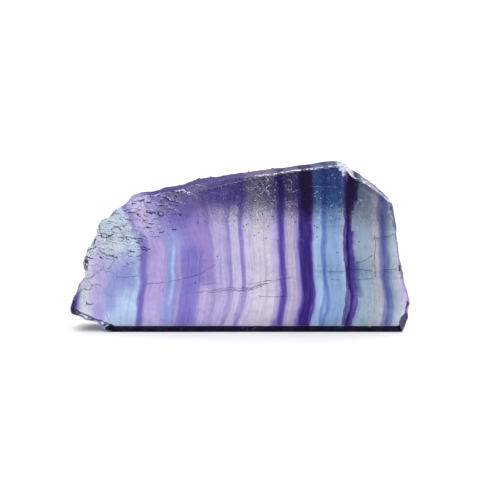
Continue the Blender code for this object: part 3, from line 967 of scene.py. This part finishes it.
def rough_weights(stone):
    """For every point, how far it belongs to the rim, and how far to the broken shoulder."""
    x, y, z = points_of(stone).T
    from_face = HIGH.y * PER_METRE - np.abs(y)
    off_foot = smooth(z, 0.3, 1.2)
    rim = smooth(from_face, 0.15, 0.7) * off_foot
    left = smooth(past_break(x, z, -27.0), -3.0, 4.0)
    shoulder = left * smooth(-y, 0.0, 2.0) * off_foot * (0.35 + 0.65 * smooth(z, 16.0, 26.0))
    return rim, shoulder


def roughen(stone, shape):
    """Ledges on the broken shoulder, and grain on every broken edge."""
    rim, shoulder = rough_weights(stone)
    rim_group, shoulder_group = weigh(stone, "rim", rim), weigh(stone, "shoulder", shoulder)
    guide = placed("ledge_guide", None)
    guide.rotation_mode = "QUATERNION"
    guide.rotation_quaternion = Vector((1.0, 1.0, 1.0)).rotation_difference(Vector(LEDGE_RISE))
    guide.scale = (shape.ledge_spacing * LEDGE_PATTERN,) * 3
    bpy.context.view_layer.update()
    ledges = texture(
        "ledges", "MARBLE", marble_type="SHARP", noise_basis_2="SAW", noise_scale=1.1,
        noise_depth=3, turbulence=9.0, noise_basis="ORIGINAL_PERLIN",
    )
    finish_with(
        stone, "DISPLACE", texture=ledges, texture_coords="OBJECT", texture_coords_object=guide,
        direction="Y", strength=shape.ledge, mid_level=0.0, vertex_group=shoulder_group,
    )
    bpy.data.objects.remove(guide)
    for name, size, depth, group in (
        ("shoulder_grain", 1.3 * MM, 0.8 * shape.ledge, shoulder_group),
        ("rim_grain", 1.1 * MM, shape.rim_relief, rim_group),
    ):
        grain = texture(name, "CLOUDS", noise_scale=size, noise_depth=3, noise_basis="VORONOI_F2_F1")
        finish_with(
            stone, "DISPLACE", texture=grain, texture_coords="GLOBAL", direction="NORMAL",
            strength=-depth, mid_level=0.3, vertex_group=group,
        )
    stone.vertex_groups.clear()


def keep(stone, name, values):
    """Stores a number for every point, which the material reads."""
    stone.data.attributes.new(name, "FLOAT", "POINT").data.foreach_set("value", values.astype(np.float32))


def hollows(stone):
    """How deep each point lies in a crease, as a slope. It is below zero along a ridge."""
    points = points_of(stone)
    normals = np.array([vert.normal for vert in stone.data.vertices])
    ends = np.empty(len(stone.data.edges) * 2, np.int32)
    stone.data.edges.foreach_get("vertices", ends)
    found, shared = np.zeros(len(points)), np.zeros(len(points))
    for near, far in (ends.reshape(-1, 2).T, ends.reshape(-1, 2).T[::-1]):
        step = points[far] - points[near]
        rise = (step * normals[near]).sum(axis=1) / np.linalg.norm(step, axis=1)
        np.add.at(found, near, rise)
        np.add.at(shared, near, 1.0)
    return found / shared


def from_outline(stone, rim):
    """How far each point of the show face is from the rim, in millimetres, within reach of it."""
    points = points_of(stone)
    edges = points[rim > 0.5]
    tree = kdtree.KDTree(len(edges))
    for index, (x, _, z) in enumerate(edges):
        tree.insert((x, 0.0, z), index)
    tree.balance()
    found = np.full(len(points), OUTLINE_REACH)
    for index in np.flatnonzero((points[:, 1] < 0.0) & (rim <= 0.5)):
        found[index] = min(OUTLINE_REACH, tree.find((points[index, 0], 0.0, points[index, 2]))[2])
    return found


def on_foot(face):
    """Whether a face is part of the sawn foot: it looks down and lies low."""
    return face.normal.z < -0.6 and face.calc_center_median().z < 0.8 * MM


def on_rim(face):
    """Whether a face is part of the opaque rim. The broken left end has it on its upper side only."""
    if face.calc_center_median().x < RIM_FROM * MM:
        return abs(face.normal.y) < 0.3 and face.normal.z > -0.15
    return abs(face.normal.y) < 0.6


def dress_stone(stone, tints):
    """Stores where the stone is broken and creased, and gives it its material."""
    rim, shoulder = rough_weights(stone)
    facing = np.array([vert.normal.y for vert in stone.data.vertices])
    keep(stone, "broken", np.maximum(np.where(facing < -0.6, 0.0, rim), shoulder))
    keep(stone, "hollow", hollows(stone))
    keep(stone, "inset", from_outline(stone, rim))
    for material in (fluorite(tints), foot_in_shade(tints), frosted_rim(tints)):
        stone.data.materials.append(material)
    for slot, wanted in ((2, on_rim), (1, on_foot)):
        with editing(stone) as mesh:
            select_faces(mesh, wanted)
            stone.active_material_index = slot
            bpy.ops.object.material_slot_assign()
    only(stone)
    bpy.ops.object.shade_smooth_by_angle(angle=math.radians(35.0))


class FLUORITE_OT_body(bpy.types.Operator):
    """Make the stone: two polished faces, a sawn foot, a rough rim and a broken shoulder"""

    bl_idname = "fluorite.body"
    bl_label = "Stone"

    def execute(self, context):
        shape, tints = context.scene.slice_shape, context.scene.stone_colours
        stone = start_stone(shape)
        roughen(stone, shape)
        dress_stone(stone, tints)
        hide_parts(NODE)
        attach(stone, BODY)
        return {"FINISHED"}


# ---------------------------------------------------------------- healed cracks


def small_traces(shape):
    """Short level wiggles over the broken shoulder, fewer of them low on its left."""
    draw = random.Random(shape.seed)
    corner_x, corner_z = SHOULDER_CORNER
    traces = []
    while len(traces) < shape.small_cracks:
        x, z = draw.uniform(*SHOULDER_X), draw.uniform(*SHOULDER_Z)
        top = corner_z + (0.16 if x > corner_x else 0.85) * (x - corner_x)
        if past_break(x, z, -26.0) < draw.uniform(-2.0, 4.0) or z > top - 1.0:
            continue
        if x < -38.0 and z < 31.0 and draw.random() < 0.7:
            continue
        reach, slope = draw.uniform(0.5, 2.0), draw.uniform(-0.5, 0.3)
        traces.append([(x, z), (x + reach, z + reach * slope)])
    return traces


def wobble(piece, size, reach, directions):
    """Lets a piece wander by up to half of reach along some axes, in waves about size long."""
    cloud = texture(piece.name, "CLOUDS", noise_scale=size * MM, noise_depth=1)
    for direction in directions:
        finish_with(
            piece, "DISPLACE", texture=cloud, texture_coords="GLOBAL", direction=direction,
            strength=reach * MM, mid_level=0.5,
        )


def ribbons(name, traces, depth, wall, wander):
    """Sheets drawn as wandering lines on the stone's surface and run back into it, falling a little."""
    line = bpy.data.curves.new(name, "CURVE")
    line.dimensions = "3D"
    for trace in traces:
        spline = line.splines.new("POLY")
        spline.points.add(len(trace) - 1)
        for point, (x, z) in zip(spline.points, trace):
            point.co = (x * MM, LOW.y - IN_FRONT * MM, z * MM, 1.0)
    made = placed(name, line)
    only(made)
    bpy.ops.object.convert(target="MESH")
    with editing(made):
        bpy.ops.mesh.select_all(action="SELECT")
        bpy.ops.mesh.subdivide(number_cuts=TRACE_CUTS)
    wobble(made, 2.2, wander, "ZX")
    wobble(made, 0.7, 0.6 * wander, "ZX")
    finish_with(
        made, "SHRINKWRAP", target=bpy.data.objects[STONE], wrap_method="PROJECT", use_project_y=True,
        use_positive_direction=True, use_negative_direction=False,
    )
    with editing(made) as mesh:
        bpy.ops.mesh.select_all(action="DESELECT")
        for vert in mesh.verts:
            vert.select_set(vert.co.y < LOW.y - 0.5 * IN_FRONT * MM)
        bpy.ops.mesh.delete(type="VERT")
        bpy.ops.mesh.select_all(action="SELECT")
        bpy.ops.transform.translate(value=(0.0, SKIN * MM, 0.0))
        back = Vector((0.0, depth / SHEET_ROWS, -depth / SHEET_ROWS * math.tan(CRACK_FALL))) * MM
        for _ in range(SHEET_ROWS):
            bpy.ops.mesh.extrude_edges_move(TRANSFORM_OT_translate={"value": back})
    wobble(made, 0.8, 0.35, "Z")
    finish_with(made, "SOLIDIFY", thickness=wall, offset=0.0)
    return made


def crumbs(places, size):
    """Dark crumbs that sit half sunk in the upper edge, one at each (x, y)."""
    stone = bpy.data.objects[STONE]
    above = HIGH.z * PER_METRE + CRUMB_DROP
    made = []
    for x, y in places:
        found, spot, _, _ = stone.ray_cast(Vector((x, y, above)) * MM, Vector((0.0, 0.0, -1.0)))
        if not found:
            raise RuntimeError("A crumb has no stone below it")
        made.append((x, spot.y * PER_METRE, spot.z * PER_METRE))
    return grains(made, size)


def grains(places, size):
    """Little rough grains: one is modelled, and the others are copies of it."""
    bpy.ops.mesh.primitive_ico_sphere_add(subdivisions=2, radius=size)
    first = bpy.context.object
    cloud = texture("grain", "CLOUDS", noise_scale=size, noise_depth=1)
    finish_with(first, "DISPLACE", texture=cloud, strength=0.8 * size, mid_level=0.5)
    made = []
    for x, y, z in places:
        grain = placed("grain", first.data.copy())
        grain.location = Vector((x, y, z)) * MM
        grain.rotation_euler.y = x + z
        made.append(grain)
    bpy.data.objects.remove(first)
    return made


def joined(name, pieces, material):
    """Joins pieces into one, with its place in its mesh, and lets it ride on the stone."""
    only(pieces[0])
    for piece in pieces:
        piece.select_set(True)
    bpy.ops.object.join()
    whole = bpy.context.object
    bpy.ops.object.transform_apply()
    whole.name = name
    whole.data.materials.append(material)
    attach(whole, BODY)


class FLUORITE_OT_cracks(bpy.types.Operator):
    """Make the healed cracks and dark specks in the stone, and the crumbs on its upper edge"""

    bl_idname = "fluorite.cracks"
    bl_label = "Healed Cracks"

    def execute(self, context):
        shape, tints = context.scene.slice_shape, context.scene.stone_colours
        sheets = [ribbons("crack", traces, depth, shape.crack_wall, 0.7) for depth, traces in CRACKS.items()]
        joined("healed_cracks", sheets, sealed_sheet("healed_crack", tints.crack, 0.16, 0.85))
        behind = LOW.y * PER_METRE + SKIN + shape.speck_size * PER_METRE
        specks = grains([(x, behind, z) for x, z in SPECKS], shape.speck_size)
        specks += crumbs(CRUMBS, shape.crumb_size)
        joined("dark_specks", specks, sealed_sheet("speck", tints.crease, 0.9))
        return {"FINISHED"}


class FLUORITE_OT_creases(bpy.types.Operator):
    """Make the short dark creases of the broken shoulder"""

    bl_idname = "fluorite.creases"
    bl_label = "Shoulder Creases"

    def execute(self, context):
        shape, tints = context.scene.slice_shape, context.scene.stone_colours
        sheets = [
            ribbons("crease", CREASES, CREASE_DEPTH, shape.crease_wall, 1.1),
            ribbons("fine_crease", small_traces(shape), FINE_DEPTH, shape.fine_wall, 1.0),
        ]
        joined("shoulder_creases", sheets, sealed_sheet("crease", tints.crease, 0.5))
        return {"FINISHED"}


# ---------------------------------------------------------------- the stage


def studio_light(setting):
    """White all round up to a little above eye height, a darker ring, and a wide soft light overhead."""
    world = bpy.data.worlds.new("studio")
    world.use_nodes = True
    nodes, links = world.node_tree.nodes, world.node_tree.links
    place = nodes.new("ShaderNodeTexCoord")
    split = nodes.new("ShaderNodeSeparateXYZ")
    shade = nodes.new("ShaderNodeValToRGB")
    links.new(place.outputs["Generated"], split.inputs[0])
    links.new(split.outputs["Z"], shade.inputs["Fac"])
    links.new(shade.outputs["Color"], nodes["Background"].inputs["Color"])
    elements = shade.color_ramp.elements
    while len(elements) < len(LIGHT_HEIGHTS):
        elements.new(1.0)
    lights = (setting.sky_light, setting.ring_light, setting.ring_light, setting.top_light)
    brightest = max(lights)
    for element, height, light in zip(elements, LIGHT_HEIGHTS, lights):
        element.position = math.sin(math.radians(height))
        element.color = (light / brightest,) * 3 + (1.0,)
    nodes["Background"].inputs["Strength"].default_value = brightest
    return world


class FLUORITE_OT_stage(bpy.types.Operator):
    """Set the floor, the lights and the camera"""

    bl_idname = "fluorite.stage"
    bl_label = "Studio Stage"

    def execute(self, context):
        setting = context.scene.stone_stage
        bpy.ops.mesh.primitive_circle_add(
            vertices=64, radius=setting.floor_size, fill_type="NGON", location=(0.0, 0.0, -FLOOR_GAP)
        )
        floor = context.object
        floor.name = "studio_floor"
        paint = Paint("studio_floor")
        shade = setting.floor_shade
        tone = paint.blend(paint.noise(40.0), (shade * 0.99,) * 3, (shade,) * 3)
        paint.give(Base_Color=tone, Roughness=0.9)
        floor.data.materials.append(paint.material)

        context.scene.world = studio_light(setting)

        view = placed("camera", bpy.data.cameras.new("camera"))
        down = setting.look_down
        back = Vector((0.0, -math.cos(down), math.sin(down)))
        view.location = Vector((0.0, 0.0, setting.aim_height)) + back * setting.distance
        view.rotation_euler = (math.radians(90.0) - down, 0.0, 0.0)
        view.data.lens = setting.lens
        view.data.clip_start = 0.01
        context.scene.camera = view
        context.scene.view_settings.view_transform = "Standard"
        return {"FINISHED"}


# ---------------------------------------------------------------- panel and registration


class FLUORITE_PT_panel(bpy.types.Panel):
    """Lists the pieces and their sizes and colours"""

    bl_idname = "FLUORITE_PT_panel"
    bl_label = "Fluorite Slice"
    bl_space_type = "VIEW_3D"
    bl_region_type = "UI"
    bl_category = "Fluorite"

    def draw(self, context):
        for group, operators in PARTS.items():
            box = self.layout.box()
            for operator in operators:
                box.operator(operator.bl_idname)
            settings = getattr(context.scene, group)
            for name in settings.bl_rna.properties.keys():
                if name not in ("rna_type", "name"):
                    box.prop(settings, name)


PARTS = {
    "slice_shape": [FLUORITE_OT_body, FLUORITE_OT_cracks, FLUORITE_OT_creases],
    "stone_colours": [],
    "stone_stage": [FLUORITE_OT_stage],
}
GROUPS = {"slice_shape": SliceShape, "stone_colours": StoneColours, "stone_stage": StoneStage}
CLASSES = [*GROUPS.values(), *sum(PARTS.values(), []), FLUORITE_PT_panel]


def register():
    for made in CLASSES:
        bpy.utils.register_class(made)
    for name, group in GROUPS.items():
        setattr(bpy.types.Scene, name, PointerProperty(type=group))


def unregister():
    for name in GROUPS:
        delattr(bpy.types.Scene, name)
    for made in reversed(CLASSES):
        bpy.utils.unregister_class(made)


def main():
    register()
    bpy.ops.fluorite.body()
    bpy.ops.fluorite.cracks()
    bpy.ops.fluorite.creases()
    bpy.ops.fluorite.stage()


if __name__ == "__main__":
    main()
